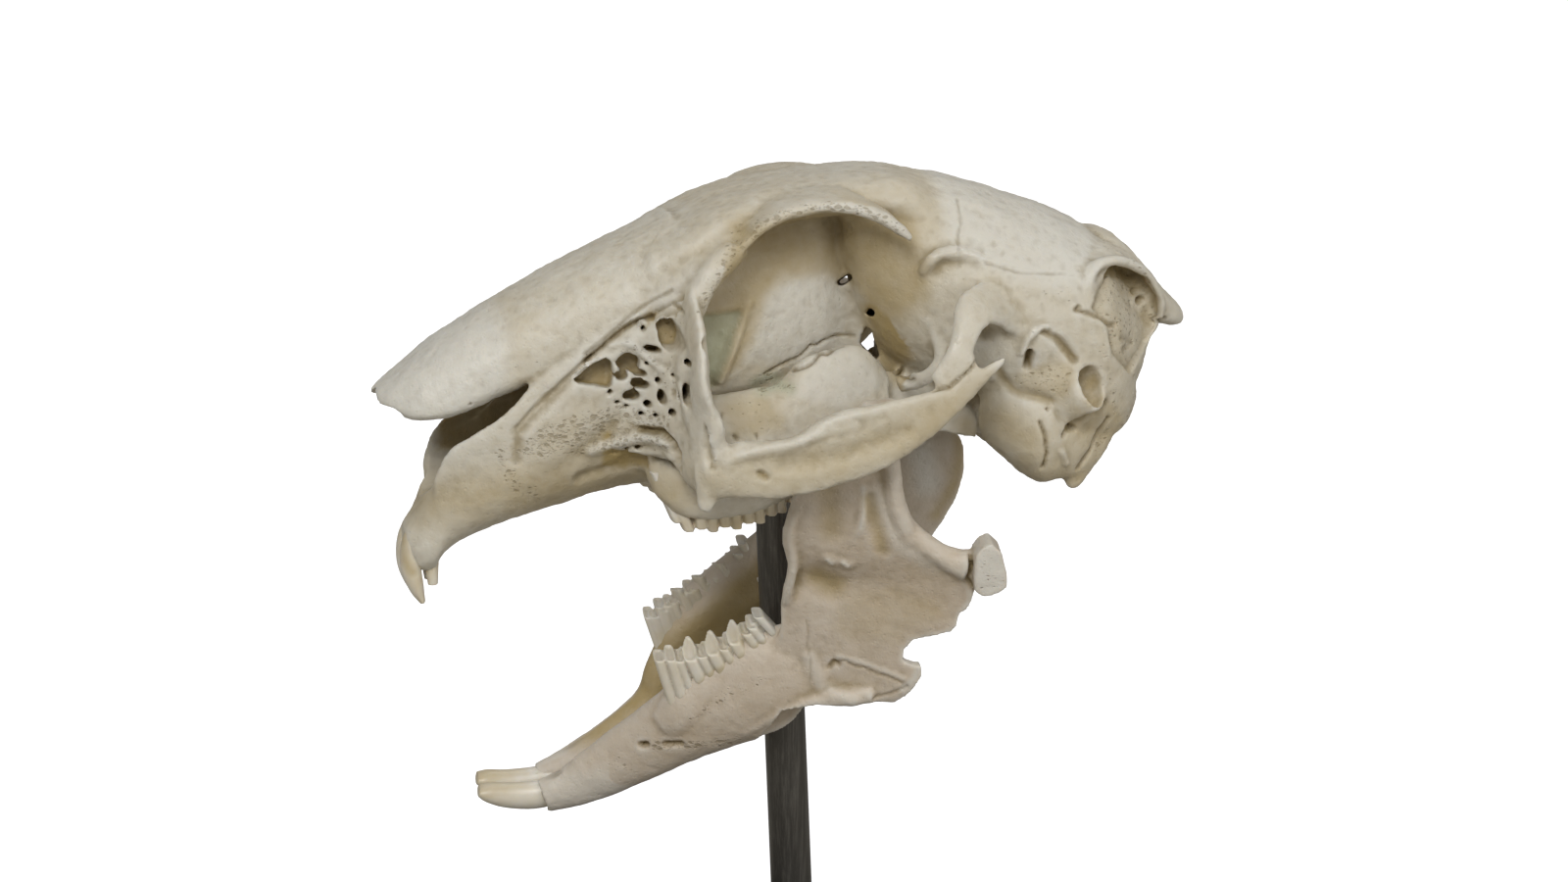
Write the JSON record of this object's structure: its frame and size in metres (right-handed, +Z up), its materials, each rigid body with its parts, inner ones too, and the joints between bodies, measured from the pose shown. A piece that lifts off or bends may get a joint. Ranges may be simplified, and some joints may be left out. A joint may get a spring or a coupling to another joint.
{
  "type": "hare skull",
  "caption": "Life-size hare skull with its lower jaw hanging open on a leaning steel rod and a round base plate, a still display model.",
  "frame": {"origin": "middle of the part's box, on the underside of the base plate", "axes": "+Z up, the nose towards -X, the animal's left side towards -Y"},
  "size_m": [0.0977, 0.074, 0.1067],
  "materials": {
    "bone": "bleached bone, satin",
    "dark_steel": "dark brushed",
    "base_plate": "matt black"
  },
  "bodies": {
    "root": {"cranium": "bone", "zygomatic_arch_left": "bone", "zygomatic_arch_right": "bone", "mandible_left": "bone", "mandible_right": "bone", "stand_rod": "dark_steel", "stand_base": "base_plate"}
  },
  "joints": []
}
